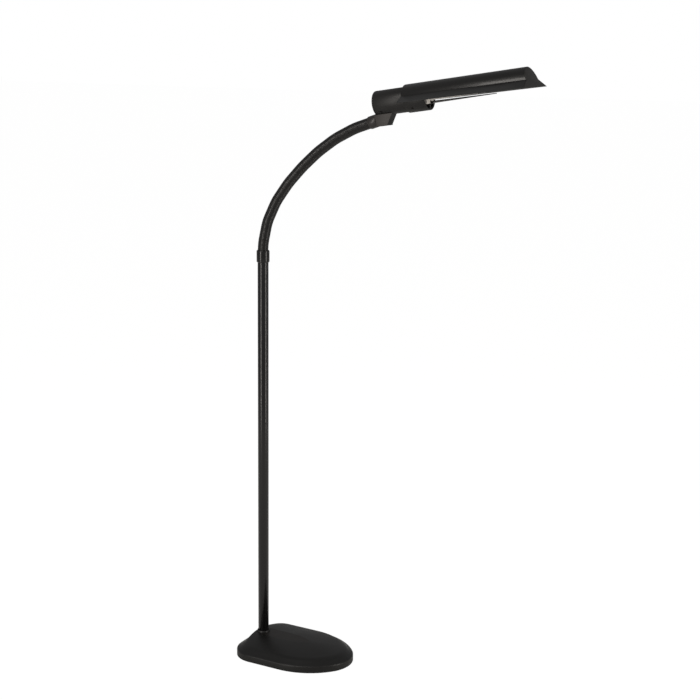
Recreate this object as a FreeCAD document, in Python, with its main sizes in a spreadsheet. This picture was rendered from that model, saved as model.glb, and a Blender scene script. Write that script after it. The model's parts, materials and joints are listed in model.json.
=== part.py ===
"""Gooseneck reading floor lamp: a weighted base, a pole, a ribbed gooseneck and a hooded lamp head.

Origin on the floor under the pole, +X towards the lamp head, +Z up, millimetres.
"""

import math
import os

import FreeCAD
import Part
import Sketcher

doc = FreeCAD.newDocument("ReadingLamp")
sizes = doc.addObject("Spreadsheet::Sheet", "Sizes")
nodes = []
row = 0


# ---------------------------------------------------------------- driving dimensions

def dim(alias, value, note=""):
    """Put one named size, or a formula of named sizes, in the next row of the sheet."""
    global row
    row += 1
    sizes.set("A%d" % row, note)
    sizes.set("B%d" % row, str(value))
    sizes.setAlias("B%d" % row, alias)


def text(expression):
    """Write @name as a reference to the sheet."""
    return expression.replace("@", "Sizes.")


def bind(item, **expressions):
    for prop, expression in expressions.items():
        item.setExpression(prop, text(expression))
    return item


def value(expression):
    number = sizes.evalExpression(text(expression))
    return float(getattr(number, "Value", number))


# base plan: straight rear and sides, round rear corners, oval front
dim("base_rear", -32, "rear edge of the base")
dim("base_nose", 209, "front end of the base")
dim("base_half_width", 90, "half the width of the base")
dim("base_corner", 50, "radius of the rear corners")
dim("base_round", 66, "radius of the nose")
dim("base_side_end", 92, "where the straight sides end")
dim("floor_gap", 1, "gap under the cover")
dim("wall_top", 13, "top of the upright wall")
dim("rim_height", 15.5, "first dome section")
dim("rim_inset", 1.2)
dim("shoulder_height", 17.8, "second dome section")
dim("shoulder_inset", 5)
dim("dome_height", 25.5, "third dome section")
dim("dome_inset", 16)
dim("plateau_height", 33, "flat tongue on top")
dim("plateau_rear", -14.5)
dim("plateau_nose", 112)
dim("plateau_half_width", 18)
dim("plateau_corner", 14)
dim("plateau_round", 14)
dim("plateau_side_end", 60)
dim("cover_wall", 3, "thickness of the base cover")
dim("fit_gap", 0.3, "clearance between loose parts")
dim("pad_thickness", 2)
dim("plate_thickness", 2)
dim("plate_inset", 3.5)
dim("plate_top", "=pad_thickness + plate_thickness")
dim("ballast_top", "=wall_top - fit_gap")
dim("boss_radius", 14.6, "iron boss round the pole foot")
dim("boss_top", 28)
dim("screw_radius", 2)
dim("screw_head_radius", 4)
dim("screw_head_height", 1.8)
dim("screw_length", 9)
dim("screw_rear", -12, "rear pair of base screws")
dim("screw_front", 140, "front pair of base screws")
dim("screw_side", 45)

# pole
dim("pole_radius", 11)
dim("pole_wall", 1.5)
dim("pole_foot", 11, "underside of the tube in the iron boss")
dim("pole_top", 839)
dim("pole_bore", "=pole_radius - pole_wall")
dim("bolt_radius", 4)
dim("bolt_head_radius", 6.5)
dim("bolt_head_height", 2.8)
dim("bolt_length", 17)
dim("washer_radius", 7.6)
dim("washer_thickness", 1.5)
dim("web_underside", 8.5, "underside of the web the bolt pulls on")
dim("insert_length", 20)
dim("ring_radius", 14, "trim ring at the pole foot")
dim("ring_height", 4)
dim("collar_radius", 13.1, "collar between pole and gooseneck")
dim("collar_bottom", 829)
dim("collar_top", 853)
dim("collar_chamfer", 1)
dim("plug_length", 24)
dim("wire_bore", 4)
dim("inlet_height", 8, "height of the cord inlet")
dim("inlet_radius", 3.8)
dim("inlet_flange", 4.8)
dim("inlet_length", 14)
dim("inlet_bore", 2.6)

# gooseneck: rigid links about pivots that bend and sway by turns
dim("hose_crest", 10.8, "radius over the ribs")
dim("hose_valley", 10.1, "radius between the ribs")
dim("hose_bore", 4.4)
dim("hose_wire_bore", 1.8)
dim("hose_seat", 841, "lower end of the hose in the collar")
dim("link_span", 23.45, "distance between two pivots")
dim("root_span", 12, "collar top to the first pivot")
dim("tip_span", 12, "last pivot to the ferrule")
dim("bend_gap", 2.4, "link end to bending pivot")
dim("sway_gap", 1, "link end to swaying pivot")
dim("bend_ball", "=sqrt(hose_bore^2 + bend_gap^2) - fit_gap", "ball that a bend turns on")
dim("sway_ball", "=sqrt(hose_bore^2 + sway_gap^2) - fit_gap", "ball that a sway turns on")
dim("ball_seat", 4, "plug that holds the ball in its link")
dim("link_length", "=link_span - bend_gap - sway_gap")
dim("root_length", "=collar_top - hose_seat + root_span - bend_gap")
dim("tip_seat", 6, "hose inside the ferrule")
dim("tip_length", "=tip_span + tip_seat - sway_gap")
REST_BENDS = [12.5, 13.5, 10.5, 7.0, 5.0, 6.5, 8.0, 8.0]
PIVOTS = 2 * len(REST_BENDS)
for number, angle in enumerate(REST_BENDS, 1):
    dim("bend_%s" % "abcdefgh"[number - 1], angle, "rest angle of bend %d" % number)
dim("pivot_x_01", 0)
dim("pivot_z_01", "=collar_top + root_span")
dim("tilt_01", "=bend_a", "lean from upright after the pivot")
for number in range(2, PIVOTS + 1):
    before = number - 1
    dim("pivot_x_%02d" % number, "=pivot_x_%02d + link_span * sin(tilt_%02d)" % (before, before))
    dim("pivot_z_%02d" % number, "=pivot_z_%02d + link_span * cos(tilt_%02d)" % (before, before))
    turn = " + bend_%s" % "abcdefgh"[number // 2] if number % 2 else ""
    dim("tilt_%02d" % number, "=tilt_%02d%s" % (before, turn))
dim("tip_x", "=pivot_x_%02d + tip_span * sin(tilt_%02d)" % (PIVOTS, PIVOTS))
dim("tip_z", "=pivot_z_%02d + tip_span * cos(tilt_%02d)" % (PIVOTS, PIVOTS))
dim("tip_tilt", "=tilt_%02d" % PIVOTS)

# lamp head, on its own axis: s along the axis, v to the side, n up
dim("ferrule_radius", 12.3)
dim("ferrule_length", 17)
dim("head_pitch", 8.8, "rise of the head axis")
dim("mount_back", -50, "ferrule end on the head axis")
dim("mount_drop", -31)
dim("head_x", "=tip_x + ferrule_length * sin(tip_tilt)"
    " - mount_back * cos(head_pitch) + mount_drop * sin(head_pitch)")
dim("head_z", "=tip_z + ferrule_length * cos(tip_tilt)"
    " - mount_back * sin(head_pitch) - mount_drop * cos(head_pitch)")
dim("housing_radius", 23.6)
dim("seam_lean", "=90 - tip_tilt - head_pitch", "ferrule axis above the head axis")
dim("bracket_top", "=-housing_radius / 2")
dim("bracket_half_width", 11)
dim("bracket_front", -7)
dim("bracket_toe", -25)
dim("bracket_chin", -41)
dim("bracket_bottom", -43)
dim("housing_wall", 2)
dim("housing_rear", -44)
dim("housing_front", 27)
dim("cap_thickness", 3)
dim("cap_spigot", 5)
dim("button_radius", 6)
dim("button_stroke", 1.5)
dim("switch_depth", 8)
dim("switch_side", 15)
dim("button_length", 8)
dim("button_proud", 2, "button end behind the cap")
dim("side_screw_radius", 2.4)
dim("side_screw_length", 4)
dim("side_screw_rear", -32)
dim("side_screw_front", 34)
dim("side_screw_angle", 135)
dim("board_thickness", 1.6)
dim("board_level", -8, "underside of the board")
dim("board_half_width", "=sqrt((housing_radius - housing_wall)^2 - board_level^2) - fit_gap / 2")
dim("board_rear", -22)
dim("board_front", 18)
dim("choke_rear", -16)
dim("choke_length", 22)
dim("choke_width", 18)
dim("choke_height", 14)
dim("sleeve_radius", 25.4)
dim("sleeve_start", 20)
dim("sleeve_end", 62)
dim("sleeve_bore", 22.6)
dim("holder_start", 31)
dim("holder_length", 13)
dim("lamp_base_length", 20)
dim("lamp_base_half_width", 14.5)
dim("lamp_base_top", 3.4)
dim("lamp_base_bottom", -13.5)
dim("tube_radius", 5)
dim("tube_side", 6.4, "side offset of each glass leg")
dim("tube_drop", -2.2)
dim("tube_length", 158)
dim("guard_root_top", "=lamp_base_bottom - fit_gap", "bar where it passes below the lamp base")
dim("guard_root_deep", 3.4)
dim("guard_top", -8.8, "bar under the glass legs")
dim("guard_bottom", -13.5)
dim("guard_end_top", -10.8)
dim("guard_end_bottom", -12.1)
dim("guard_half_width", 1.8)
dim("guard_length", 138)
dim("guard_foot", 4, "where the bar is held in the sleeve")

# shade
dim("shade_bore", 25.8)
dim("shade_wall", 1.8)
dim("shade_radius", "=shade_bore + shade_wall")
dim("shade_start", 17)
dim("shade_tip", 260, "front of the shade at its top")
dim("tip_lean", 17.5, "lean of the end plate")
dim("end_plate", 2)
dim("root_rear", 6.8, "wing root above the axis, rear")
dim("root_front", 3.8, "wing root above the axis, front")
dim("edge_out_rear", 50)
dim("edge_out_front", 56)
dim("edge_rear", -5.4)
dim("edge_front", -10.2)
dim("wing_thickness", 1.7)
dim("reflector_thickness", 0.8)
dim("reflector_lip", 8, "lower edge of the reflector above the axis")
dim("reflector_start", 66)
dim("reflector_end", 250)
doc.recompute()


# ---------------------------------------------------------------- helpers

TURNS = {
    "z": "rotation(vector(0; 0; 1); 0)",
    "x": "rotation(vector(0; 1; 0); 90)",
    "y": "rotation(vector(1; 0; 0); -90)",
}


def cylinder(name, radius, height, at=("0", "0", "0"), axis="z"):
    item = doc.addObject("Part::Cylinder", name)
    bind(item, Radius=radius, Height=height)
    return bind(item, Placement="placement(vector(%s; %s; %s); %s)" % (*at, TURNS[axis]))


def box(name, size, at):
    item = doc.addObject("Part::Box", name)
    bind(item, Length=size[0], Width=size[1], Height=size[2])
    return bind(item, Placement="placement(vector(%s; %s; %s); %s)" % (*at, TURNS["z"]))


def cut(name, base, *tools):
    item = doc.addObject("Part::Cut", name)
    item.Base = base
    item.Tool = tools[0] if len(tools) == 1 else fuse(name + "_tools", *tools)
    return item


def fuse(name, *shapes):
    item = doc.addObject("Part::MultiFuse", name)
    item.Shapes = list(shapes)
    return item


def common(name, *shapes):
    item = doc.addObject("Part::MultiCommon", name)
    item.Shapes = list(shapes)
    return item


def placed(shape, name):
    """A copy of a shape that can stand somewhere else."""
    item = doc.addObject("Part::Compound", name)
    item.Links = [shape]
    return item


def tube(name, outer, inner, height, at=("0", "0", "0"), axis="z"):
    solid = cylinder(name + "_solid", outer, height, at, axis)
    hole = cylinder(name + "_hole", inner, height, at, axis)
    return cut(name, solid, hole)


def node(item, label, placement=None):
    """Keep a finished sub-part under its own name and place it."""
    item.Label = label
    if placement:
        bind(item, Placement=placement)
    nodes.append(item)
    return item


def fix_corner(sketch, segment, across, upward):
    """Tie a segment's start point to two named sizes."""
    for kind, expression in (("DistanceX", across), ("DistanceY", upward)):
        number = sketch.addConstraint(
            Sketcher.Constraint(kind, -1, 1, segment, 1, value(expression)))
        sketch.setExpression("Constraints[%d]" % number, text(expression))


def close_chain(sketch, count):
    for segment in range(count):
        sketch.addConstraint(
            Sketcher.Constraint("Coincident", segment, 2, (segment + 1) % count, 1))


def polygon(name, corners, placement):
    """A closed outline of straight lines through corners given as pairs of expressions."""
    sketch = doc.addObject("Sketcher::SketchObject", name)
    points = [FreeCAD.Vector(value(across), value(upward), 0) for across, upward in corners]
    for start, end in zip(points, points[1:] + points[:1]):
        sketch.addGeometry(Part.LineSegment(start, end))
    close_chain(sketch, len(points))
    for segment, (across, upward) in enumerate(corners):
        fix_corner(sketch, segment, across, upward)
    return bind(sketch, Placement=placement)


def side_prism(name, corners, half_width):
    """A block whose outline is drawn in the s-n plane and which is centred on v."""
    sketch = polygon(name + "_outline", corners,
                     "placement(vector(0; 0; 0); rotation(vector(1; 0; 0); 90))")
    item = doc.addObject("Part::Extrusion", name)
    item.Base = sketch
    item.DirMode = "Normal"
    item.Solid = True
    item.Symmetric = True
    return bind(item, LengthFwd="2 * (%s)" % half_width)


def plan_outline(name, plan, inset, height):
    """The oval base plan, drawn smaller by an inset and lifted to a height."""
    inset = "(%s)" % inset
    rear = "(@%s_rear + %s)" % (plan, inset)
    half = "(@%s_half_width - %s)" % (plan, inset)
    corner = "(@%s_corner - %s)" % (plan, inset)
    nose_round = "(@%s_round - %s)" % (plan, inset)
    nose_centre = "(@%s_nose - @%s_round)" % (plan, plan)
    side_end = "@%s_side_end" % plan
    reach = "(%s - %s)" % (nose_centre, side_end)
    side_round = "((%s^2 + %s^2 - %s^2) / (2 * (%s - %s)))" % (
        reach, half, nose_round, half, nose_round)
    gap = "(%s - %s)" % (side_round, nose_round)
    join_x = "(%s + %s * %s / %s)" % (nose_centre, nose_round, reach, gap)
    join_y = "(%s * (%s - %s) / %s)" % (nose_round, side_round, half, gap)
    corner_x = "(%s + %s)" % (rear, corner)
    corner_y = "(%s - %s)" % (half, corner)
    corners = [
        (corner_x, "-" + half), (side_end, "-" + half), (join_x, "-" + join_y),
        (join_x, join_y), (side_end, half), (corner_x, half),
        (rear, corner_y), (rear, "-" + corner_y),
    ]
    arcs = {
        1: (side_end, "(%s - %s)" % (side_round, half), side_round),
        2: (nose_centre, "0", nose_round),
        3: (side_end, "(%s - %s)" % (half, side_round), side_round),
        5: (corner_x, corner_y, corner),
        7: (corner_x, "-" + corner_y, corner),
    }
    sketch = doc.addObject("Sketcher::SketchObject", name)
    points = [FreeCAD.Vector(value(across), value(upward), 0) for across, upward in corners]
    for segment, start in enumerate(points):
        end = points[(segment + 1) % len(points)]
        if segment not in arcs:
            sketch.addGeometry(Part.LineSegment(start, end))
            continue
        across, upward, radius = arcs[segment]
        centre = FreeCAD.Vector(value(across), value(upward), 0)
        circle = Part.Circle(centre, FreeCAD.Vector(0, 0, 1), value(radius))
        first = math.atan2(start.y - centre.y, start.x - centre.x)
        last = math.atan2(end.y - centre.y, end.x - centre.x)
        sketch.addGeometry(Part.ArcOfCircle(circle, first, last))
    close_chain(sketch, len(points))
    for segment, (across, upward) in enumerate(corners):
        fix_corner(sketch, segment, across, upward)
    for segment, (across, upward, radius) in arcs.items():
        number = sketch.addConstraint(Sketcher.Constraint("Radius", segment, value(radius)))
        sketch.setExpression("Constraints[%d]" % number, text(radius))
    return bind(sketch, Placement="placement(vector(0; 0; %s); %s)" % (height, TURNS["z"]))


def plan_slab(name, inset, bottom, top):
    item = doc.addObject("Part::Extrusion", name)
    item.Base = plan_outline(name + "_outline", "base", inset, bottom)
    item.DirMode = "Normal"
    item.Solid = True
    return bind(item, LengthFwd="%s - %s" % (top, bottom))


def loft(name, sections, ruled=True):
    item = doc.addObject("Part::Loft", name)
    item.Sections = sections
    item.Solid = True
    item.Ruled = ruled
    return item


doc.recompute()


# ---------------------------------------------------------------- base

def screw_places():
    for end in ("@screw_rear", "@screw_front"):
        for side in ("@screw_side", "-@screw_side"):
            yield end, side


def make_base():
    wall = plan_slab("cover_wall_slab", "0", "@floor_gap", "@wall_top")
    dome = loft("cover_dome", [
        plan_outline("dome_section_1", "base", "0", "@wall_top"),
        plan_outline("dome_section_2", "base", "@rim_inset", "@rim_height"),
        plan_outline("dome_section_3", "base", "@shoulder_inset", "@shoulder_height"),
        plan_outline("dome_section_4", "base", "@dome_inset", "@dome_height"),
        plan_outline("dome_section_5", "plateau", "0", "@plateau_height"),
    ])
    outside = fuse("cover_outside", wall, dome)
    hollow = plan_slab("cover_hollow", "@cover_wall", "0", "@wall_top")
    boss_room = cylinder("cover_boss_room", "@boss_radius + @fit_gap", "@boss_top + @fit_gap")
    pole_hole = cylinder("cover_pole_hole", "@pole_radius + @fit_gap / 2", "@plateau_height + 5")
    inlet_hole = cylinder("cover_inlet_hole", "@inlet_radius + 0.1", "@inlet_length + 4",
                          ("@base_rear - 2", "0", "@inlet_height"), "x")
    node(cut("base_cover_cut", outside, hollow, boss_room, pole_hole, inlet_hole), "base_cover")

    slab = plan_slab("ballast_slab", "@cover_wall + @fit_gap", "@plate_top", "@ballast_top")
    boss = cylinder("ballast_boss", "@boss_radius", "@boss_top - @plate_top",
                    ("0", "0", "@plate_top"))
    seat = cylinder("ballast_pole_seat", "@pole_radius + 0.05", "@boss_top",
                    ("0", "0", "@pole_foot"))
    recess = cylinder("ballast_bolt_recess", "@washer_radius + 0.4", "@web_underside")
    bolt_hole = cylinder("ballast_bolt_hole", "@bolt_radius + 0.2", "@boss_top")
    inlet_room = box("ballast_inlet_room",
                     ("@inlet_length + 8", "3 * @inlet_flange", "@wall_top"),
                     ("@base_rear", "-1.5 * @inlet_flange", "@plate_top"))
    threads = [cylinder("ballast_thread_%d" % count, "@screw_radius", "@screw_length",
                        (end, side, "@pad_thickness"))
               for count, (end, side) in enumerate(screw_places(), 1)]
    node(cut("base_ballast_cut", fuse("ballast_solid", slab, boss), seat, recess, bolt_hole,
             inlet_room, *threads), "base_ballast")

    plate = plan_slab("plate_slab", "@plate_inset", "@pad_thickness", "@plate_top")
    plate_holes = [cylinder("plate_hole_%d" % count, "@screw_radius + 0.2", "@plate_top + 1",
                            (end, side, "0"))
                   for count, (end, side) in enumerate(screw_places(), 1)]
    node(cut("base_plate_cut", plate, *plate_holes), "base_plate")

    pad = plan_slab("pad_slab", "@plate_inset", "0", "@pad_thickness")
    pad_holes = [cylinder("pad_hole_%d" % count, "@screw_head_radius + 0.4",
                          "@pad_thickness + 2", (end, side, "-1"))
                 for count, (end, side) in enumerate(screw_places(), 1)]
    node(cut("base_pad_cut", pad, *pad_holes), "base_pad")

    for count, (end, side) in enumerate(screw_places(), 1):
        head = cylinder("base_screw_head_%d" % count, "@screw_head_radius",
                        "@screw_head_height",
                        (end, side, "@pad_thickness - @screw_head_height"))
        shank = cylinder("base_screw_shank_%d" % count, "@screw_radius",
                         "@screw_length", (end, side, "@pad_thickness"))
        node(fuse("base_screw_solid_%d" % count, head, shank), "base_screw_%d" % count)

    gland = cylinder("inlet_body", "@inlet_radius", "@inlet_length",
                     ("@base_rear", "0", "@inlet_height"), "x")
    flange = cylinder("inlet_lip", "@inlet_flange", "2",
                      ("@base_rear - 2", "0", "@inlet_height"), "x")
    bore = cylinder("inlet_hole", "@inlet_bore", "@inlet_length + 6",
                    ("@base_rear - 4", "0", "@inlet_height"), "x")
    node(cut("inlet_cut", fuse("inlet_solid", gland, flange), bore), "cord_inlet")


# ---------------------------------------------------------------- pole

def make_pole():
    node(tube("pole_tube", "@pole_radius", "@pole_bore", "@pole_top - @pole_foot",
              ("0", "0", "@pole_foot")), "pole")
    insert = tube("insert_tube", "@pole_bore", "@bolt_radius", "@insert_length",
                  ("0", "0", "@pole_foot"))
    node(insert, "pole_insert")
    node(tube("washer_tube", "@washer_radius", "@bolt_radius + 0.3", "@washer_thickness",
              ("0", "0", "@web_underside - @washer_thickness")), "pole_washer")
    head = doc.addObject("Part::Prism", "bolt_head")
    head.Polygon = 6
    bind(head, Circumradius="@bolt_head_radius", Height="@bolt_head_height",
         Placement="placement(vector(0; 0; @web_underside - @washer_thickness"
         " - @bolt_head_height); %s)" % TURNS["z"])
    shank = cylinder("bolt_shank", "@bolt_radius", "@bolt_length + @washer_thickness",
                     ("0", "0", "@web_underside - @washer_thickness"))
    node(fuse("bolt_solid", head, shank), "pole_bolt")
    ring = cylinder("ring_blank", "@ring_radius", "@ring_height", ("0", "0", "@plateau_height"))
    soft = doc.addObject("Part::Cone", "ring_cone")
    bind(soft, Radius1="@ring_radius", Radius2="@ring_radius - 1.5", Height="@ring_height",
         Placement="placement(vector(0; 0; @plateau_height); %s)" % TURNS["z"])
    hole = cylinder("ring_hole", "@pole_radius + 0.1", "@plateau_height + 20")
    node(cut("ring_cut", common("ring_solid", ring, soft), hole), "foot_ring")

    barrel = cylinder("collar_barrel", "@collar_radius",
                      "@collar_top - @collar_bottom - 2 * @collar_chamfer",
                      ("0", "0", "@collar_bottom + @collar_chamfer"))
    ends = []
    for name, foot, low, high in (
            ("collar_lower_end", "@collar_bottom", "@collar_radius - @collar_chamfer",
             "@collar_radius"),
            ("collar_upper_end", "@collar_top - @collar_chamfer", "@collar_radius",
             "@collar_radius - @collar_chamfer")):
        cone = doc.addObject("Part::Cone", name)
        bind(cone, Radius1=low, Radius2=high, Height="@collar_chamfer",
             Placement="placement(vector(0; 0; %s); %s)" % (foot, TURNS["z"]))
        ends.append(cone)
    pole_room = cylinder("collar_pole_room", "@pole_radius", "@pole_top - @collar_bottom",
                         ("0", "0", "@collar_bottom"))
    hose_room = cylinder("collar_hose_room", "@hose_crest", "@collar_top - @hose_seat",
                         ("0", "0", "@hose_seat"))
    wire_room = cylinder("collar_wire_room", "@wire_bore", "@collar_top - @collar_bottom",
                         ("0", "0", "@collar_bottom"))
    node(cut("collar_cut", fuse("collar_solid", barrel, *ends), pole_room, hose_room,
             wire_room), "neck_collar")
    node(tube("plug_tube", "@pole_bore", "@wire_bore", "@plug_length",
              ("0", "0", "@pole_top - @plug_length")), "pole_top_plug")


# ---------------------------------------------------------------- gooseneck

def hose(name, length, ribs, ball=None, gap=None):
    """A ribbed hose along X, four circles to each rib, with its bore.

    A ball before its first face rests on the edge of the bore of the piece before it.
    """
    circles = []
    for rib in range(ribs):
        for share, radius in ((0, "@hose_valley"), (0.2, "@hose_crest"),
                              (0.6, "@hose_crest"), (0.8, "@hose_valley")):
            circles.append((rib + share, radius))
    circles.append((ribs, "@hose_valley"))
    sections = []
    for count, (place, radius) in enumerate(circles):
        circle = doc.addObject("Part::Circle", "%s_circle_%d" % (name, count))
        bind(circle, Radius=radius,
             Placement="placement(vector(%s * %.2f / %d; 0; 0); %s)" % (
                 length, place, ribs, TURNS["x"]))
        sections.append(circle)
    ribbed = loft(name + "_ribbed", sections)
    bore = cylinder(name + "_bore", "@hose_bore", length, axis="x")
    if not ball:
        return cut(name, ribbed, bore)
    sphere = doc.addObject("Part::Sphere", name + "_ball")
    bind(sphere, Radius=ball, Placement="placement(vector(-%s; 0; 0); %s)" % (gap, TURNS["z"]))
    seat = cylinder(name + "_seat", "@hose_bore", "@ball_seat", axis="x")
    wires = cylinder(name + "_wires", "@hose_wire_bore", "%s + 20" % length,
                     ("-10", "0", "0"), "x")
    solid = fuse(name + "_solid", cut(name + "_tube", ribbed, bore), sphere, seat)
    return cut(name, solid, wires)


def on_link(number, offset):
    """Place a piece drawn along X on the link that follows a pivot."""
    return ("placement(vector(@pivot_x_%02d; 0; @pivot_z_%02d);"
            " rotation(vector(0; 1; 0); @tilt_%02d - 90))"
            " * placement(vector(%s; 0; 0); rotation(vector(0; 0; 1); 0))") % (
                number, number, number, offset)


def make_gooseneck():
    node(hose("root_hose", "@root_length", 7), "neck_root",
         "placement(vector(0; 0; @hose_seat); rotation(vector(0; 1; 0); -90))")
    bending = hose("bend_hose", "@link_length", 8, "@bend_ball", "@bend_gap")
    swaying = hose("sway_hose", "@link_length", 8, "@sway_ball", "@sway_gap")
    for number in range(1, PIVOTS):
        link, offset = (bending, "@bend_gap") if number % 2 else (swaying, "@sway_gap")
        node(placed(link, "link_place_%02d" % number), "neck_link_%02d" % number,
             on_link(number, offset))
    tip = hose("tip_hose", "@tip_length", 7, "@sway_ball", "@sway_gap")
    node(tip, "neck_tip", on_link(PIVOTS, "@sway_gap"))
    outside = cylinder("ferrule_outside", "@ferrule_radius", "@ferrule_length", axis="x")
    room = cylinder("ferrule_room", "@hose_crest", "@tip_seat", axis="x")
    wires = cylinder("ferrule_wires", "@wire_bore", "@ferrule_length", axis="x")
    node(cut("ferrule_cut", outside, room, wires), "neck_ferrule",
         on_link(PIVOTS, "@tip_span"))


# ---------------------------------------------------------------- lamp head

HEAD = "placement(vector(@head_x; 0; @head_z); rotation(vector(0; 1; 0); -@head_pitch))"
ACROSS = "rotation(vector(1; 1; 1); 120)"


def side_screws(name, places, radius, length, top):
    """Small radial screws low on both sides of the head."""
    for count, (along, angle) in enumerate(places, 1):
        item = doc.addObject("Part::Cylinder", "%s_%d" % (name, count))
        bind(item, Radius=radius, Height=length)
        yield bind(item, Placement=(
            "placement(vector(%s; 0; 0); rotation(vector(1; 0; 0); %s))"
            " * placement(vector(0; 0; %s - (%s)); rotation(vector(0; 0; 1); 0))") % (
                along, angle, top, length))


def make_housing():
    screws = [("@side_screw_rear", "@side_screw_angle"),
              ("@side_screw_rear", "-@side_screw_angle")]
    length = "@housing_front - @housing_rear"
    outside = cylinder("housing_outside", "@housing_radius", length,
                       ("@housing_rear", "0", "0"), "x")
    inside = cylinder("housing_inside", "@housing_radius - @housing_wall", length,
                      ("@housing_rear", "0", "0"), "x")
    holes = side_screws("housing_hole", screws, "@side_screw_radius", "@side_screw_length",
                        "@housing_radius + 1")
    node(cut("housing_cut", outside, inside, *holes), "housing_shell", HEAD)
    for count, item in enumerate(side_screws(
            "housing_screw_body", screws, "@side_screw_radius", "@side_screw_length",
            "@housing_radius - 0.4"), 1):
        node(placed(item, "housing_screw_place_%d" % count), "housing_screw_%d" % count, HEAD)

    disc = cylinder("cap_disc", "@housing_radius", "@cap_thickness",
                    ("@housing_rear - @cap_thickness", "0", "0"), "x")
    spigot = cylinder("cap_spigot_body", "@housing_radius - @housing_wall", "@cap_spigot",
                      ("@housing_rear", "0", "0"), "x")
    hole = cylinder("cap_button_hole", "@button_radius + @fit_gap", "40",
                    ("@housing_rear - 20", "0", "0"), "x")
    node(cut("cap_cut", fuse("cap_solid", disc, spigot), hole), "housing_cap", HEAD)
    button = cylinder("button_body", "@button_radius", "@button_length",
                      ("@housing_rear - @cap_thickness - @button_proud", "0", "0"), "x")
    node(placed(button, "button_place"), "switch_button", HEAD)
    switch = box("switch_block", ("@switch_depth", "@switch_side", "@switch_side"),
                 ("@housing_rear + @cap_spigot", "-@switch_side / 2", "-@switch_side / 2"))
    node(placed(switch, "switch_place"), "switch_body", HEAD)

    board = box("board_blank", ("@board_front - @board_rear", "2 * @board_half_width",
                                "@board_thickness"),
                ("@board_rear", "-@board_half_width", "@board_level"))
    node(placed(board, "board_place"), "ballast_board", HEAD)
    choke = box("choke_blank", ("@choke_length", "@choke_width", "@choke_height"),
                ("@choke_rear", "-@choke_width / 2", "@board_level + @board_thickness"))
    node(placed(choke, "choke_place"), "ballast_choke", HEAD)


def make_bracket():
    def seam(level):
        return "@mount_back - (%s - @mount_drop) * tan(@seam_lean)" % level

    block = side_prism("bracket_block", [
        (seam("@bracket_top"), "@bracket_top"), (seam("@bracket_bottom"), "@bracket_bottom"),
        ("@bracket_toe", "@bracket_bottom"), ("@bracket_toe", "@bracket_chin"),
        ("@bracket_front", "@bracket_top")], "@bracket_half_width")
    housing_room = cylinder("bracket_housing_room", "@housing_radius", "80",
                            ("@housing_rear - @cap_thickness - 20", "0", "0"), "x")
    node(cut("bracket_cut", block, housing_room), "head_bracket", HEAD)


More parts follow.
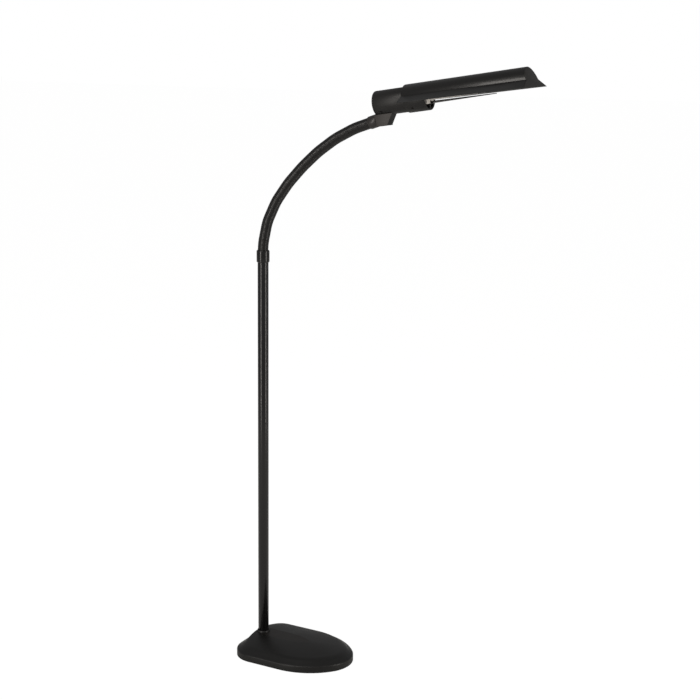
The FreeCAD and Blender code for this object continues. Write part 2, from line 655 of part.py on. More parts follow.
def make_lamp():
    screws = [("@side_screw_front", "@side_screw_angle"),
              ("@side_screw_front", "-@side_screw_angle")]
    outside = cylinder("sleeve_outside", "@sleeve_radius", "@sleeve_end - @sleeve_start",
                       ("@sleeve_start", "0", "0"), "x")
    seat = cylinder("sleeve_seat", "@housing_radius", "@housing_front - @sleeve_start",
                    ("@sleeve_start", "0", "0"), "x")
    mouth = cylinder("sleeve_mouth", "@sleeve_bore", "@sleeve_end - @sleeve_start",
                     ("@sleeve_start", "0", "0"), "x")
    holes = side_screws("sleeve_hole", screws, "@side_screw_radius", "@side_screw_length",
                        "@sleeve_radius + 1")
    node(cut("sleeve_cut", outside, seat, mouth, *holes), "lamp_sleeve", HEAD)
    for count, item in enumerate(side_screws(
            "sleeve_screw_body", screws, "@side_screw_radius", "@side_screw_length - 1",
            "@sleeve_radius - 0.4"), 1):
        node(placed(item, "sleeve_screw_place_%d" % count), "sleeve_screw_%d" % count, HEAD)

    holder = cylinder("holder_disc", "@sleeve_bore", "@holder_length",
                      ("@holder_start", "0", "0"), "x")
    screw_room = side_screws("holder_room", screws, "@side_screw_radius + 0.1",
                             "@side_screw_length", "@sleeve_radius")
    node(cut("holder_cut", holder, *screw_room), "lamp_holder", HEAD)

    base_start = "@holder_start + @holder_length"
    lamp_base = box("lamp_base_block",
                    ("@lamp_base_length", "2 * @lamp_base_half_width",
                     "@lamp_base_top - @lamp_base_bottom"),
                    (base_start, "-@lamp_base_half_width", "@lamp_base_bottom"))
    node(placed(lamp_base, "lamp_base_place"), "lamp_base", HEAD)

    glass_start = "%s + @lamp_base_length" % base_start
    legs = []
    for count, side in enumerate(("@tube_side", "-@tube_side"), 1):
        legs.append(cylinder("glass_leg_%d" % count, "@tube_radius", "@tube_length",
                             (glass_start, side, "@tube_drop"), "x"))
        tip = doc.addObject("Part::Sphere", "glass_tip_%d" % count)
        bind(tip, Radius="@tube_radius", Placement="placement(vector(%s + @tube_length; %s;"
             " @tube_drop); rotation(vector(0; 0; 1); 0))" % (glass_start, side))
        legs.append(tip)
    bridge = cylinder("glass_bridge", "@tube_radius * 0.6", "2 * @tube_side",
                      ("%s + @tube_length - 8" % glass_start, "-@tube_side", "@tube_drop"), "y")
    node(fuse("glass_solid", *legs, bridge), "lamp_tube", HEAD)

    guard_start = "(@sleeve_end - @guard_foot)"
    guard_end = "%s + @guard_length" % guard_start
    guard_rise = "(%s + @fit_gap)" % glass_start
    guard = side_prism("guard_bar", [
        (guard_start, "@guard_root_top - @guard_root_deep"),
        (guard_rise + " + @guard_foot", "@guard_bottom"),
        (guard_end, "@guard_end_bottom"), (guard_end, "@guard_end_top"),
        (guard_rise, "@guard_top"), (guard_rise, "@guard_root_top"),
        (guard_start, "@guard_root_top")], "@guard_half_width")
    foot = box("guard_foot_block", ("@guard_foot", "2 * @guard_half_width",
                                    "@sleeve_bore + @guard_root_top"),
               (guard_start, "-@guard_half_width", "-@sleeve_bore"))
    reach = cylinder("guard_reach", "@sleeve_bore", "@sleeve_end",
                     ("@sleeve_start", "0", "0"), "x")
    foot_trim = common("guard_foot_trim", foot, reach)
    node(fuse("guard_solid", guard, foot_trim), "lamp_guard", HEAD)


# ---------------------------------------------------------------- shade

SHADE_OVERRUN = "(@shade_tip + 14)"


def wing_section(name, along, root, out, edge, inner=False):
    """The trapezoid between the wing roots and wing edges at one place along the axis."""
    drop = "@wing_thickness" if inner else "0"
    root_out = "(sqrt(@shade_radius^2 - (%s)^2))" % root
    corners = [("-%s" % root_out, "%s - %s" % (root, drop)), (root_out, "%s - %s" % (root, drop))]
    if inner:
        slope = "((%s - %s) / (%s - %s))" % (root, edge, out, root_out)
        low = "%s - %s - 10 * %s" % (edge, drop, slope)
        corners += [("%s + 10" % out, low), ("%s + 10" % out, "-60"),
                    ("-%s - 10" % out, "-60"), ("-%s - 10" % out, low)]
    else:
        corners += [(out, edge), ("-%s" % out, edge)]
    return polygon(name, corners, "placement(vector(%s; 0; 0); %s)" % (along, ACROSS))


def wing_loft(name, inner=False):
    rear = wing_section(name + "_rear", "@shade_start", "@root_rear", "@edge_out_rear",
                        "@edge_rear", inner)
    front = wing_section(name + "_front", SHADE_OVERRUN, "@root_front", "@edge_out_front",
                         "@edge_front", inner)
    return loft(name, [rear, front])


def leaning_block(name, length, offset):
    """A block in front of the leaning plane of the end plate."""
    item = doc.addObject("Part::Box", name)
    bind(item, Length=length, Width="200", Height="200")
    return bind(item, Placement=(
        "placement(vector(@shade_tip; 0; @shade_radius); rotation(vector(0; 1; 0); -@tip_lean))"
        " * placement(vector(%s; -100; -150); rotation(vector(0; 0; 1); 0))") % offset)


def hood(name):
    """The whole outer form of the shade, solid."""
    barrel = cylinder(name + "_barrel", "@shade_radius", "%s - @shade_start" % SHADE_OVERRUN,
                      ("@shade_start", "0", "0"), "x")
    upper = box(name + "_upper", ("%s - @shade_start" % SHADE_OVERRUN, "4 * @shade_radius",
                                  "2 * @shade_radius"),
                ("@shade_start", "-2 * @shade_radius", "@root_front"))
    top = common(name + "_top", barrel, upper)
    return fuse(name, top, wing_loft(name + "_wings"))


def make_shade():
    bore = cylinder("shade_hollow", "@shade_bore", "%s - @shade_start" % SHADE_OVERRUN,
                    ("@shade_start", "0", "0"), "x")
    under = wing_loft("shade_under", inner=True)
    front = leaning_block("shade_front", "60", "-@end_plate")
    node(cut("shade_cut", hood("shade_form"), bore, under, front), "shade", HEAD)

    slab = leaning_block("plate_block", "@end_plate", "-@end_plate")
    node(common("end_plate_solid", hood("plate_form"), slab), "shade_end_plate", HEAD)

    length = "@reflector_end - @reflector_start"
    outer = cylinder("reflector_outer", "@shade_bore", length,
                     ("@reflector_start", "0", "0"), "x")
    inner = cylinder("reflector_inner", "@shade_bore - @reflector_thickness", length,
                     ("@reflector_start", "0", "0"), "x")
    upper = box("reflector_upper", (length, "80", "40"),
                ("@reflector_start", "-40", "@reflector_lip"))
    node(common("reflector_solid", cut("reflector_tube", outer, inner), upper),
         "reflector", HEAD)


make_base()
make_pole()
make_gooseneck()
make_housing()
make_bracket()
make_lamp()
make_shade()
doc.recompute()


# ---------------------------------------------------------------- checks and export

for item in doc.Objects:
    if "Invalid" in item.State or "Error" in item.State:
        raise RuntimeError("%s is not built: %s" % (item.Name, item.State))
    if item.isDerivedFrom("Part::Feature"):
        if item.Shape.isNull() or not item.Shape.isValid():
            raise RuntimeError("%s has no valid shape" % item.Name)

os.makedirs("parts", exist_ok=True)
for item in nodes:
    if len(item.Shape.Solids) != 1:
        raise RuntimeError("%s has %d solids" % (item.Label, len(item.Shape.Solids)))
    item.Shape.exportStep("parts/%s.step" % item.Label)
    print("%-18s %10.1f mm3" % (item.Label, item.Shape.Volume))
print("%d sub-parts" % len(nodes))
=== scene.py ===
# %% [markdown]
# # A gooseneck reading floor lamp
# The lamp stands on a heavy black base. A slim pole carries a ribbed neck that stays where it is
# bent, and the neck carries a slender head with a winged shade. This lesson dresses the lamp's
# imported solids: round forms get smooth copies with softened edges, the neck gets a continuous
# ribbed hose, the base gets its moulded dome, and each material is built from nodes.

# %% Load the frame
import json
import math

import bpy
from mathutils import Matrix, Vector

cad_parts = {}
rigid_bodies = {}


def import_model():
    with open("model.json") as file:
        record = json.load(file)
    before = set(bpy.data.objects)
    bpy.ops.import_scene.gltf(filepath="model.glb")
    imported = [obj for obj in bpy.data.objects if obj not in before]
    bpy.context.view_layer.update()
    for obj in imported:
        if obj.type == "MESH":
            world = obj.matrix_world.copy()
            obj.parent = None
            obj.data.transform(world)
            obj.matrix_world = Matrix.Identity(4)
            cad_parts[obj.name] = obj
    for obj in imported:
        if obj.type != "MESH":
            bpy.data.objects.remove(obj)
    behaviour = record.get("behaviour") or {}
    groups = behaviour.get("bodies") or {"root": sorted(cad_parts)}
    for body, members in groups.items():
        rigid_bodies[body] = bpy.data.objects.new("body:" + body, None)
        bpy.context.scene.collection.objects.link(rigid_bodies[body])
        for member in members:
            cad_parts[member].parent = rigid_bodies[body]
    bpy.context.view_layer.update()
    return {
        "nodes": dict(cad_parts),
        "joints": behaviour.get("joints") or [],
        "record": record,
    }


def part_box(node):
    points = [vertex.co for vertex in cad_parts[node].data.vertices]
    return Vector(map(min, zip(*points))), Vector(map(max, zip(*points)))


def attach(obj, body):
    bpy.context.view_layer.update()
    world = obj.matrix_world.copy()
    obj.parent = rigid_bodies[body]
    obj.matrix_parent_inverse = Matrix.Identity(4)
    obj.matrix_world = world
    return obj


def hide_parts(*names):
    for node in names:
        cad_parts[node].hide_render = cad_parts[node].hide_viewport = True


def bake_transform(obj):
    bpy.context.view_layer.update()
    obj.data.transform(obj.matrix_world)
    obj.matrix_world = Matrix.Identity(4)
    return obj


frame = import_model()
joints = {joint["name"]: joint for joint in frame["joints"]}
node_body = {name: body for body, names in frame["record"]["behaviour"]["bodies"].items()
             for name in names}

# %% [markdown]
# ## Working in millimetres
# The lamp's sizes are easier to read in millimetres, while Blender counts in metres. One small
# function turns one into the other. A second one turns the colours, which are written as sRGB
# hex values as in a paint chart, into the linear numbers that a shader wants.

# %% Units and colours


def mm(length):
    return length / 1000


def linear(hex_colour):
    channels = [int(hex_colour[i:i + 2], 16) / 255 for i in (1, 3, 5)]
    return [c / 12.92 if c <= 0.04045 else ((c + 0.055) / 1.055) ** 2.4
            for c in channels] + [1.0]


# %% [markdown]
# ## One helper for every material
# A material is a small graph. `add` puts one node in it, sets its inputs or settings by name and
# links outputs of other nodes into it. Everything else in the materials is the choice of nodes.

# %% The node helper


def add(tree, kind, links=None, **settings):
    item = tree.nodes.new(kind)
    for name, setting in settings.items():
        if name in item.inputs:
            item.inputs[name].default_value = setting
        else:
            setattr(item, name, setting)
    for name, output in (links or {}).items():
        tree.links.new(output, item.inputs[name])
    return item


def start_material(name):
    material = bpy.data.materials.new(name)
    material.use_nodes = True
    material.node_tree.nodes.clear()
    return material, material.node_tree


def end_material(tree, shader):
    add(tree, "ShaderNodeOutputMaterial", {"Surface": shader.outputs[0]})


# %% [markdown]
# ## Moulded black plastic
# The base cover and the lamp's housing are injection-moulded ABS. The tool is spark-eroded, which
# leaves a fine, even pebble on the skin: it breaks the shine into a soft satin. The pebble is
# about 0.3 mm on the real part and is drawn at 0.8 mm, because the finer one would not show.
# A slow change in roughness over some centimetres is the trace of hands and of dust.

# %% Moulded plastic


def moulded_plastic(name, colour, roughness, grain=0.8, depth=0.02, edge_lift=0.0):
    material, tree = start_material(name)
    place = add(tree, "ShaderNodeTexCoord")
    pebble = add(tree, "ShaderNodeTexNoise", {"Vector": place.outputs["Object"]},
                 Scale=1 / mm(grain), Detail=2.0, Roughness=0.5)
    handled = add(tree, "ShaderNodeTexNoise", {"Vector": place.outputs["Object"]},
                  Scale=1 / mm(45), Detail=3.0, Roughness=0.6)
    gloss = add(tree, "ShaderNodeMapRange", {"Value": handled.outputs["Fac"]})
    gloss.inputs["To Min"].default_value = roughness - 0.05
    gloss.inputs["To Max"].default_value = roughness + 0.07
    shade = add(tree, "ShaderNodeMapRange", {"Value": handled.outputs["Fac"]})
    shade.inputs["To Min"].default_value = 0.85
    shade.inputs["To Max"].default_value = 1.2
    tone = add(tree, "ShaderNodeVectorMath", operation="SCALE")
    tone.inputs[0].default_value = linear(colour)[:3]
    tree.links.new(shade.outputs["Result"], tone.inputs["Scale"])
    bump = add(tree, "ShaderNodeBump", {"Height": pebble.outputs["Fac"]},
               Strength=0.35, Distance=mm(depth))
    shader = add(tree, "ShaderNodeBsdfPrincipled",
                 {"Base Color": tone.outputs["Vector"], "Roughness": gloss.outputs["Result"],
                  "Normal": bump.outputs["Normal"]}, IOR=1.53)
    end_material(tree, shader)
    return material


base_plastic = moulded_plastic("moulded_abs_base", "#080706", 0.4, grain=0.7)
# The tongue's plastic is lighter than the base's: a painted sheen for the reflection its flat top
# catches. Its higher roughness is real.
tongue_painted_sheen_plastic = moulded_plastic("moulded_abs_tongue_painted_sheen", "#171412", 0.5, grain=0.7, depth=0.03)
housing_plastic = moulded_plastic("moulded_abs_housing", "#0f0d0c", 0.42, grain=0.7)
# The lighter bracket plastic is a painted highlight for the bracket's lit sides; the darker one is
# the plastic's own colour.
bracket_lit_side_plastic = moulded_plastic("moulded_abs_bracket", "#332e2b", 0.46, grain=0.7)
bracket_dark = moulded_plastic("moulded_abs_bracket_end", "#110f0e", 0.42, grain=0.7)
white_plastic = moulded_plastic("moulded_pbt_white", "#e9e4dd", 0.4, grain=0.9, depth=0.01)
print("Plastics are ready")

# %% [markdown]
# ## Enamel on steel
# The pole and its collar are steel with a baked black enamel. It is glossy, with the very slight
# waviness called orange peel, some millimetres across, which makes long reflections shiver a
# little. A clear, smooth top layer is the shader's coat.

# %% Enamel


def enamel(name, colour, roughness, peel=2.5, depth=0.01, coat=0.4):
    material, tree = start_material(name)
    place = add(tree, "ShaderNodeTexCoord")
    waves = add(tree, "ShaderNodeTexNoise", {"Vector": place.outputs["Object"]},
                Scale=1 / mm(peel), Detail=1.5, Roughness=0.4)
    worn = add(tree, "ShaderNodeTexNoise", {"Vector": place.outputs["Object"]},
               Scale=1 / mm(60), Detail=4.0, Roughness=0.6)
    gloss = add(tree, "ShaderNodeMapRange", {"Value": worn.outputs["Fac"]})
    gloss.inputs["To Min"].default_value = roughness - 0.04
    gloss.inputs["To Max"].default_value = roughness + 0.06
    bump = add(tree, "ShaderNodeBump", {"Height": waves.outputs["Fac"]},
               Strength=0.25, Distance=mm(depth))
    shader = add(tree, "ShaderNodeBsdfPrincipled",
                 {"Roughness": gloss.outputs["Result"], "Normal": bump.outputs["Normal"]},
                 IOR=1.5)
    shader.inputs["Base Color"].default_value = linear(colour)
    shader.inputs["Coat Weight"].default_value = coat
    shader.inputs["Coat Roughness"].default_value = 0.12
    end_material(tree, shader)
    return material


pole_enamel = enamel("baked_enamel_pole", "#0c0b0b", 0.24)
hose_enamel = enamel("painted_steel_hose", "#0d0b0a", 0.34, peel=1.5, coat=0.15)
ferrule_enamel = enamel("satin_enamel_ferrule", "#2b2725", 0.36, peel=1.5, coat=0.2)
shade_enamel = enamel("baked_enamel_shade", "#0c0a09", 0.33, peel=3.0, coat=0.12)
plate_enamel = enamel("baked_enamel_end_plate", "#1d1b1a", 0.5, peel=3.0, coat=0.0)
print("Enamels are ready")

# %% [markdown]
# ## Bare metal
# Screws, washer and bolt are zinc-plated or blackened steel. Turning and rolling leave fine
# scratches about 0.2 mm apart, drawn at 0.6 mm here, which stretch and dull the shine.

# %% Metals


def bare_metal(name, colour, roughness, scratch=0.6):
    material, tree = start_material(name)
    place = add(tree, "ShaderNodeTexCoord")
    scratches = add(tree, "ShaderNodeTexNoise", {"Vector": place.outputs["Object"]},
                    Scale=1 / mm(scratch), Detail=3.0, Roughness=0.6)
    gloss = add(tree, "ShaderNodeMapRange", {"Value": scratches.outputs["Fac"]})
    gloss.inputs["To Min"].default_value = roughness - 0.08
    gloss.inputs["To Max"].default_value = roughness + 0.1
    bump = add(tree, "ShaderNodeBump", {"Height": scratches.outputs["Fac"]},
               Strength=0.2, Distance=mm(0.01))
    shader = add(tree, "ShaderNodeBsdfPrincipled",
                 {"Roughness": gloss.outputs["Result"], "Normal": bump.outputs["Normal"]},
                 Metallic=1.0)
    shader.inputs["Base Color"].default_value = linear(colour)
    end_material(tree, shader)
    return material


zinc = bare_metal("zinc_plated_steel", "#b9b9b2", 0.35)
blackened = bare_metal("blackened_steel", "#2a2827", 0.4)
bright_aluminium = bare_metal("bright_aluminium", "#e2e0dc", 0.2, scratch=1.2)
cast_iron = bare_metal("cast_iron", "#3a3937", 0.7, scratch=1.5)
print("Metals are ready")

# %% [markdown]
# ## Rubber, board and phosphor glass
# The floor pad is black nitrile rubber, dull and slightly dusty. The circuit board has a green
# solder mask. The lamp tube is glass, coated inside with white phosphor powder: unlit, it looks
# like porcelain under a clear gloss, so it is a white body with a sharp coat.

# %% Soft and white materials
pad_rubber = moulded_plastic("nitrile_rubber", "#1b1a19", 0.78, grain=1.2, depth=0.05)
board_mask = moulded_plastic("solder_mask_board", "#1c4a2c", 0.4, grain=1.5)
wound_copper = bare_metal("lacquered_copper", "#8a4f2e", 0.4)


def phosphor_glass(name):
    material, tree = start_material(name)
    place = add(tree, "ShaderNodeTexCoord")
    powder = add(tree, "ShaderNodeTexNoise", {"Vector": place.outputs["Object"]},
                 Scale=1 / mm(6), Detail=4.0, Roughness=0.6)
    tint = add(tree, "ShaderNodeMix", {"Factor": powder.outputs["Fac"]}, data_type="RGBA")
    tint.inputs["A"].default_value = linear("#e6e1db")
    tint.inputs["B"].default_value = linear("#f6f3ee")
    shader = add(tree, "ShaderNodeBsdfPrincipled", {"Base Color": tint.outputs["Result"]},
                 Roughness=0.45, IOR=1.52)
    shader.inputs["Coat Weight"].default_value = 1.0
    shader.inputs["Coat Roughness"].default_value = 0.03
    end_material(tree, shader)
    return material


tube_glass = phosphor_glass("phosphor_coated_glass")
print("Glass is ready")

# %% [markdown]
# ## Smooth copies with soft edges
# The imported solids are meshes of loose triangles. A real moulding or pressing has no knife edge,
# and the thin bright line along an edge is what makes it look made. So each visible solid is
# copied, its triangles are merged and joined into clean faces, its edges get a small bevel, and
# its round faces are shaded smooth. The copy stands for the solid and rides on the same body.

# %% The finishing function


def deselect():
    bpy.ops.object.select_all(action="DESELECT")


def select_only(item):
    deselect()
    item.hide_set(False)
    item.select_set(True)
    bpy.context.view_layer.objects.active = item


def paint(item, material):
    item.data.materials.clear()
    item.data.materials.append(material)


def apply_modifier(item, name, kind, **settings):
    select_only(item)
    modifier = item.modifiers.new(name, kind)
    for key, setting in settings.items():
        setattr(modifier, key, setting)
    bpy.ops.object.modifier_apply(modifier=modifier.name)


def finished_copy(node, material, edge=0.4, crease=35, segments=2):
    """A clean copy of a solid with its edges rounded by `edge` millimetres."""
    source = frame["nodes"][node]
    piece = source.copy()
    piece.data = source.data.copy()
    piece.name = node + "_finished"
    piece.parent = None
    for key in list(piece.keys()):
        del piece[key]
    bpy.context.scene.collection.objects.link(piece)
    select_only(piece)
    bpy.ops.object.mode_set(mode="EDIT")
    bpy.ops.mesh.select_all(action="SELECT")
    bpy.ops.mesh.remove_doubles(threshold=mm(0.002))
    bpy.ops.mesh.dissolve_limited(angle_limit=math.radians(0.6))
    bpy.ops.object.mode_set(mode="OBJECT")
    if edge:
        apply_modifier(piece, "soft edge", "BEVEL", width=mm(edge), segments=segments,
                       limit_method="ANGLE", angle_limit=math.radians(crease))
    select_only(piece)
    bpy.ops.object.shade_smooth_by_angle(angle=math.radians(crease))
    paint(piece, material)
    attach(piece, node_body[node])
    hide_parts(node)
    return piece


VISIBLE = {
    "pole": (pole_enamel, 0.3),
    "neck_collar": (pole_enamel, 0.3),
    "neck_ferrule": (ferrule_enamel, 0.8),
    "housing_shell": (housing_plastic, 0.3),
    "housing_cap": (housing_plastic, 0.8),
    "lamp_sleeve": (housing_plastic, 0.5),
    "shade": (shade_enamel, 0.4),
    "shade_end_plate": (plate_enamel, 0.4),
    "lamp_holder": (white_plastic, 0.5),
    "lamp_base": (white_plastic, 1.2),
    "lamp_tube": (tube_glass, 0),
    "lamp_guard": (shade_enamel, 0.3),
    "switch_button": (bracket_dark, 0.6),
    "cord_inlet": (pad_rubber, 0.5),
    "reflector": (bright_aluminium, 0),
}
for name, (material, edge) in VISIBLE.items():
    copy = finished_copy(name, material, edge)
    print(name, "has", len(copy.data.polygons), "faces")

# %% [markdown]
# ## Pieces that keep their solids
# Screws, the floor pad and what sits inside need no new shape. They keep their solids and only
# get their materials.

# %% Materials on the solids
KEPT = {
    "base_ballast": cast_iron,
    "base_plate": pole_enamel,
    "base_pad": pad_rubber,
    "pole_insert": zinc,
    "pole_washer": zinc,
    "pole_bolt": zinc,
    "pole_top_plug": zinc,
    "switch_body": white_plastic,
    "ballast_board": board_mask,
    "ballast_choke": wound_copper,
}
for number in range(1, 5):
    KEPT["base_screw_%d" % number] = zinc
for number in (1, 2):
    KEPT["housing_screw_%d" % number] = blackened
    KEPT["sleeve_screw_%d" % number] = blackened
for name, material in KEPT.items():
    solid = frame["nodes"][name]
    paint(solid, material)
    select_only(solid)
    bpy.ops.object.shade_smooth_by_angle(angle=math.radians(35))
print(len(KEPT), "solids keep their shape")

# %% [markdown]
# ## The bracket
# The head sits on a wedge of the same plastic. Its sides get a lighter copy of it, a painted
# highlight for the light that falls on them, and the faces that point elsewhere get the darker one.

# %% The bracket
SIDEWAYS = 0.8  # a face that points further to the side than this counts as a side

bracket = finished_copy("head_bracket", bracket_lit_side_plastic, edge=2.0, segments=4)
bracket.data.materials.append(bracket_dark)
# Side faces keep the lighter copy, a painted highlight; the others get the darker one.
for face in bracket.data.polygons:
    if abs(face.normal.y) < SIDEWAYS:
        face.material_index = 1
print("The bracket has", len(bracket.data.polygons), "faces")

# %% [markdown]
# ## The ribbed neck
# The real neck is a steel strip wound into a hose, with about one rib every 2.6 mm. It bends
# evenly, while the solids under it are short stiff links. One rib is modelled, repeated by an
# Array modifier and laid along a curve by a Curve modifier: once for each pivot, from the middle
# of one link to the middle of the next, so that each length runs across its one pivot.

# %% One rib
RIBS_PER_LINK = 9
hose_crest = mm(10.8)
hose_valley = mm(10.0)
RIB_STEPS = [(0.12, 0.6), (0.3, 1.0), (0.6, 1.0), (0.82, 0.7), (1.0, 0.0)]
RIB_CORNERS = 28


def model_rib(pitch):
    """One rib along X: a ring that is extruded and swelled step by step."""
    deselect()
    bpy.ops.mesh.primitive_circle_add(vertices=RIB_CORNERS, radius=hose_valley,
                                      rotation=(0, math.pi / 2, 0))
    rib = bpy.context.object
    bpy.ops.object.transform_apply(location=True, rotation=True, scale=True)
    bpy.ops.object.mode_set(mode="EDIT")
    bpy.ops.mesh.select_all(action="SELECT")
    place, radius = 0.0, hose_valley
    for share, swell in RIB_STEPS:
        wanted = hose_valley + (hose_crest - hose_valley) * swell
        bpy.ops.mesh.extrude_edges_move(
            TRANSFORM_OT_translate={"value": ((share - place) * pitch, 0, 0)})
        bpy.ops.transform.resize(value=(1, wanted / radius, wanted / radius))
        place, radius = share, wanted
    bpy.ops.mesh.select_all(action="SELECT")
    bpy.ops.mesh.normals_make_consistent(inside=False)
    bpy.ops.object.mode_set(mode="OBJECT")
    return rib


def neck_curve(start, middle, end):
    """A smooth bend from one point to another that would turn at the pivot between them."""
    deselect()
    bpy.ops.curve.primitive_bezier_curve_add()
    curve = bpy.context.object
    first, last = curve.data.splines[0].bezier_points
    curve.data.resolution_u = 24
    for point in (first, last):
        point.handle_left_type = "FREE"
        point.handle_right_type = "FREE"
    first.co = start
    last.co = end
    first.handle_right = start + (middle - start) * 2 / 3
    first.handle_left = start - (middle - start) / 3
    last.handle_left = end + (middle - end) * 2 / 3
    last.handle_right = end - (middle - end) / 3
    return curve


# %% [markdown]
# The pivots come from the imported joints, in the order in which they follow each other from the
# collar to the lamp head. The first length starts inside the collar, the last one ends inside the
# ferrule.

# %% The lengths of hose
chain = []
body = "stand"
while body != "head":
    step = next(j for j in joints.values() if j["parent"] == body and j["name"].startswith("neck_"))
    chain.append(step)
    body = step["child"]
pivots = [Vector(step["pos_m"]) for step in chain]
half_link = (pivots[1] - pivots[0]).length / 2
collar_mouth = Vector((0, 0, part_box("neck_collar")[1].z - mm(3)))
last_way = (pivots[-1] - pivots[-2]).normalized()
ferrule_mouth = pivots[-1] + last_way * mm(15)
middles = [(near + far) / 2 for near, far in zip(pivots, pivots[1:])]
starts = [collar_mouth] + middles
ends = middles + [ferrule_mouth]
for number, (step, start, pivot, end) in enumerate(zip(chain, starts, pivots, ends), 1):
    curve = neck_curve(start, pivot, end)
    length = curve.data.splines[0].calc_length()
    count = round(length / (2 * half_link) * RIBS_PER_LINK)
    hose = model_rib(length / count)
    hose.name = "hose_%02d" % number
    apply_modifier(hose, "ribs", "ARRAY", count=count, use_merge_vertices=True,
                   merge_threshold=mm(0.05), relative_offset_displace=(1, 0, 0))
    hose.location = curve.location
    apply_modifier(hose, "bend", "CURVE", object=curve)
    bpy.ops.object.transform_apply(location=True, rotation=True, scale=True)
    bpy.ops.object.shade_smooth()
    bpy.data.objects.remove(curve)
    paint(hose, hose_enamel)
    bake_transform(hose)
    if number == 1:
        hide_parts("neck_root")
    if step["child"] == "head":
        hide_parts("neck_tip")
    else:
        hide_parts("neck_link_%02d" % number)
print(len(chain), "lengths of hose")

# %% [markdown]
# ## The base cover
# The cover is one moulding: an upright wall, a rounded rim and a low dome with a flat tongue that
# runs forward from the pole. Its outline is drawn the way a draughtsperson would, by swinging a
# point round the centre of each arc with Spin and by extruding it along the straight runs. One
# side is enough, because the other is its mirror image.

# %% The outline of the base
base_low, base_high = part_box("base_cover")
rear, nose, half_width = base_low.x, base_high.x, base_high.y
rear_corner, nose_round, side_end = mm(50), mm(66), mm(92)
wall_top = mm(13)
reach = nose - nose_round - side_end
side_round = (reach ** 2 + half_width ** 2 - nose_round ** 2) / (2 * (half_width - nose_round))
join = math.atan2(side_round - half_width, reach)


def swing(centre, angle, steps):
    """Sweep the selected point round a centre, anticlockwise on the plan."""
    bpy.ops.mesh.spin(steps=steps, angle=angle, center=(*centre, base_low.z), axis=(0, 0, -1))


def run(way, steps):
    """Extrude the selected point along a straight line, in equal steps."""
    for _ in range(steps):
        bpy.ops.mesh.extrude_vertices_move(
            TRANSFORM_OT_translate={"value": (way[0] / steps, way[1] / steps, 0)})


deselect()
bpy.ops.mesh.primitive_plane_add(size=mm(1), location=(nose, 0, base_low.z))
cover = bpy.context.object
cover.name = "base_cover_moulded"
bpy.ops.object.transform_apply(location=True, rotation=True, scale=True)
bpy.ops.object.mode_set(mode="EDIT")
bpy.ops.mesh.select_all(action="SELECT")
bpy.ops.mesh.merge(type="CENTER")
swing((nose - nose_round, 0), join, 10)
swing((side_end, half_width - side_round), math.pi / 2 - join, 14)
run((rear + rear_corner - side_end, 0), 12)
swing((rear + rear_corner, half_width - rear_corner), math.pi / 2, 14)
run((0, rear_corner - half_width), 5)
bpy.ops.mesh.select_all(action="SELECT")
bpy.ops.mesh.duplicate()
bpy.ops.transform.mirror(constraint_axis=(False, True, False), center_override=(0, 0, 0))
bpy.ops.mesh.select_all(action="SELECT")
bpy.ops.mesh.remove_doubles(threshold=mm(0.01))
bpy.ops.mesh.edge_face_add()
bpy.ops.object.mode_set(mode="OBJECT")
print("The outline has", len(cover.data.vertices), "points and", len(cover.data.polygons), "face")

# %% [markdown]
# The flat outline becomes a moulding in three moves. The face is inset by the wall's thickness and
# its middle pushed up, which hollows the underside. Then the outer edge is extruded up for the
# wall. Last, the top is inset and lifted ring by ring: short steps round the rim, long ones over
# the dome, and at the end the rings close in on the tongue.

# %% Wall, rim and dome
cover_wall = mm(3)
RIM_RINGS = [(0.25, 0.95), (0.55, 0.85), (0.9, 0.6), (2.6, 1.5), (3.6, 2.2), (4.0, 2.6),
             (4.1, 2.7)]
tongue_rear, tongue_nose, tongue_half_width, tongue_top = mm(-14.5), mm(112), mm(18), mm(33)
dome_swell = mm(1.2)

select_only(cover)
bpy.ops.object.mode_set(mode="EDIT")
bpy.ops.mesh.select_all(action="SELECT")
bpy.ops.mesh.inset(thickness=cover_wall, depth=0)
bpy.ops.mesh.extrude_region_move(
    TRANSFORM_OT_translate={"value": (0, 0, wall_top - base_low.z - mm(0.5))})
bpy.ops.mesh.select_all(action="DESELECT")
bpy.ops.mesh.select_mode(type="EDGE")
bpy.ops.mesh.select_non_manifold(extend=False, use_wire=False, use_multi_face=False,
                                 use_non_contiguous=False, use_verts=False)
bpy.ops.mesh.extrude_edges_move(
    TRANSFORM_OT_translate={"value": (0, 0, wall_top - base_low.z)})
bpy.ops.mesh.edge_face_add()
bpy.ops.mesh.select_mode(type="FACE")
for inward, upward in RIM_RINGS:
    bpy.ops.mesh.inset(thickness=mm(inward), depth=0)
    bpy.ops.transform.translate(value=(0, 0, mm(upward)))

# %% [markdown]
# The rings now have to become the tongue's outline, which is much narrower than the dome. Each
# further ring is an extrusion of the top face that is scaled towards the tongue and lifted along a
# gentle swell. Two rings close together at the end keep the tongue's edge visible but soft.

# %% The dome up to the tongue
DOME_STEPS = [0.12, 0.26, 0.42, 0.58, 0.74, 0.88, 0.96, 1.0]


def top_box():
    """The extent of the selected top face: rear, nose, half width and height."""
    bpy.ops.object.mode_set(mode="OBJECT")
    face = next(f for f in cover.data.polygons if f.select)
    corners = [cover.data.vertices[index].co for index in face.vertices]
    bpy.ops.object.mode_set(mode="EDIT")
    return (min(c.x for c in corners), max(c.x for c in corners),
            max(c.y for c in corners), corners[0].z)


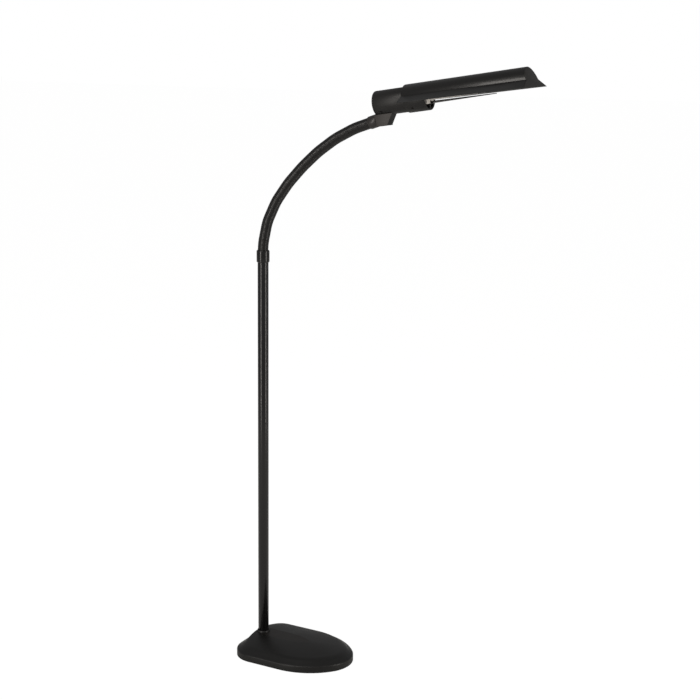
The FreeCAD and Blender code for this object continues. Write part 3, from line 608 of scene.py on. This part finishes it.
first_rear, first_nose, first_half, first_height = top_box()
for share in DOME_STEPS:
    now_rear, now_nose, now_half, now_height = top_box()
    next_rear = first_rear + (tongue_rear - first_rear) * share
    next_nose = first_nose + (tongue_nose - first_nose) * share
    next_half = first_half + (tongue_half_width - first_half) * share
    swell = math.sin(math.pi * share) * dome_swell
    next_height = first_height + (tongue_top - first_height) * share + swell
    bpy.ops.mesh.extrude_region_move(TRANSFORM_OT_translate={"value": (0, 0, 0)})
    bpy.ops.transform.resize(
        value=((next_nose - next_rear) / (now_nose - now_rear), next_half / now_half, 1),
        center_override=(now_rear, 0, now_height))
    bpy.ops.transform.translate(value=(next_rear - now_rear, 0, next_height - now_height))
bpy.ops.mesh.inset(thickness=mm(0.8), depth=0)
bpy.ops.object.mode_set(mode="OBJECT")
bpy.ops.object.shade_smooth_by_angle(angle=math.radians(40))
paint(cover, base_plastic)
# The tongue's top face gets the lighter copy, a painted sheen.
cover.data.materials.append(tongue_painted_sheen_plastic)
tongue = max(cover.data.polygons, key=lambda face: face.center.z + len(face.vertices) / 1e3)
tongue.material_index = 1
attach(cover, "stand")
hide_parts("base_cover")
print("The cover has", len(cover.data.polygons), "faces")

# %% [markdown]
# ## The trim ring
# A low turned ring covers the hole where the pole enters the base.

# %% The trim ring
ring = finished_copy("foot_ring", base_plastic, edge=0.8, segments=3)
print("The ring has", len(ring.data.polygons), "faces")

# %% [markdown]
# ## The camera
# The photograph was taken from some three metres away, a little above the lamp's head, looking
# down by twelve degrees. The camera's place and angles were worked out from the pole's taper and
# from the outline of the base. The lens follows from the same fit, for a 36 mm wide sensor.

# %% The camera
CAMERA_PLACE = Vector((1502.059, -2405.272, 1267.61)) / 1000
CAMERA_ANGLES = (28.394, 12.324, 0.691)   # turn, look down and tilt, in degrees
LENS = 72.83

azimuth, pitch, roll = (math.radians(angle) for angle in CAMERA_ANGLES)
ahead = Vector((-math.sin(azimuth), math.cos(azimuth), 0))
sideways = Vector((math.cos(azimuth), math.sin(azimuth), 0))
look = ahead * math.cos(pitch) - Vector((0, 0, math.sin(pitch)))
upward = ahead * math.sin(pitch) + Vector((0, 0, math.cos(pitch)))
across = sideways * math.cos(roll) + upward * math.sin(roll)
upward = upward * math.cos(roll) - sideways * math.sin(roll)
camera_data = bpy.data.cameras.new("photo_camera")
camera_data.sensor_width = 36
camera_data.lens = LENS
camera_data.clip_end = 60
camera = bpy.data.objects.new("photo_camera", camera_data)
camera.matrix_world = Matrix((across, upward, -look)).transposed().to_4x4()
camera.location = CAMERA_PLACE
bpy.context.scene.collection.objects.link(camera)
bpy.context.scene.camera = camera
print("The camera stands at", [round(c, 2) for c in camera.location])

# %% [markdown]
# ## Floor, backdrop and light
# The lamp stands in a plain white studio. The floor is a large pale sheet that also glows white
# for the camera, so that the background stays clean while a trace of the lamp's shadow is left.
# Two tall soft boxes give the pole its two upright streaks, and one from above and in front
# draws the long highlight on the head.

# %% The studio


FLOOR_GLOW = 0.9          # share of the floor that is plain white to the camera
WHITE_LEVEL = 1.08        # just over white, so that the floor meets the backdrop without a line
ROOM_LEVEL = 0.25         # how bright the room is for the lamp itself and for its reflections


def white_sheet(name, glow):
    """A matt pale surface that shows mostly as white to the camera."""
    material, tree = start_material(name)
    matt = add(tree, "ShaderNodeBsdfDiffuse", Color=linear("#f2f1ef"), Roughness=0.5)
    white = add(tree, "ShaderNodeEmission", Color=linear("#ffffff"),
                Strength=WHITE_LEVEL)
    path = add(tree, "ShaderNodeLightPath")
    share = add(tree, "ShaderNodeMath", operation="MULTIPLY")
    tree.links.new(path.outputs["Is Camera Ray"], share.inputs[0])
    share.inputs[1].default_value = glow
    mixed = add(tree, "ShaderNodeMixShader")
    tree.links.new(share.outputs["Value"], mixed.inputs["Fac"])
    tree.links.new(matt.outputs["BSDF"], mixed.inputs[1])
    tree.links.new(white.outputs["Emission"], mixed.inputs[2])
    end_material(tree, mixed)
    return material


bpy.context.scene.view_settings.view_transform = "Standard"
deselect()
bpy.ops.mesh.primitive_plane_add(size=60, location=(0, 0, 0))
floor = bpy.context.object
floor.name = "studio_floor"
paint(floor, white_sheet("paper_floor", FLOOR_GLOW))

world = bpy.data.worlds.new("white_studio")
bpy.context.scene.world = world
world.use_nodes = True
tree = world.node_tree
tree.nodes.clear()
path = add(tree, "ShaderNodeLightPath")
seen = add(tree, "ShaderNodeMath", operation="MAXIMUM")
tree.links.new(path.outputs["Is Camera Ray"], seen.inputs[0])
tree.links.new(path.outputs["Is Transmission Ray"], seen.inputs[1])
glossy = add(tree, "ShaderNodeMath", operation="MULTIPLY")
tree.links.new(path.outputs["Is Glossy Ray"], glossy.inputs[0])
glossy.inputs[1].default_value = ROOM_LEVEL
level = add(tree, "ShaderNodeMath", operation="MAXIMUM")
tree.links.new(seen.outputs["Value"], level.inputs[0])
tree.links.new(glossy.outputs["Value"], level.inputs[1])
fill = add(tree, "ShaderNodeMath", operation="MAXIMUM")
tree.links.new(level.outputs["Value"], fill.inputs[0])
fill.inputs[1].default_value = ROOM_LEVEL
sky = add(tree, "ShaderNodeBackground", {"Strength": fill.outputs["Value"]},
          Color=linear("#ffffff"))
add(tree, "ShaderNodeOutputWorld", {"Surface": sky.outputs["Background"]})


def soft_box(name, place, aim, width, height, power, colour="#fffaf4"):
    light = bpy.data.lights.new(name, "AREA")
    light.shape = "RECTANGLE"
    light.size, light.size_y = width, height
    light.energy = power
    light.color = linear(colour)[:3]
    item = bpy.data.objects.new(name, light)
    item.location = place
    item.rotation_euler = (Vector(aim) - Vector(place)).to_track_quat("-Z", "Y").to_euler()
    bpy.context.scene.collection.objects.link(item)
    return item


def from_lamp(bearing, distance, height):
    """A place seen from the pole at an angle to the right of the camera's side."""
    toward = math.radians(bearing)
    return (-ahead * math.cos(toward) + sideways * math.sin(toward)) * distance \
        + Vector((0, 0, height))


soft_box("left_box", from_lamp(-42, 2.4, 1.1), (0, 0, 0.8), 0.3, 2.2, 15)
soft_box("right_box", from_lamp(62, 2.2, 1.1), (0, 0, 0.8), 0.3, 2.2, 13)
soft_box("top_box", from_lamp(-25, 1.8, 2.4), (0.15, 0, 1.1), 1.2, 0.5, 13)
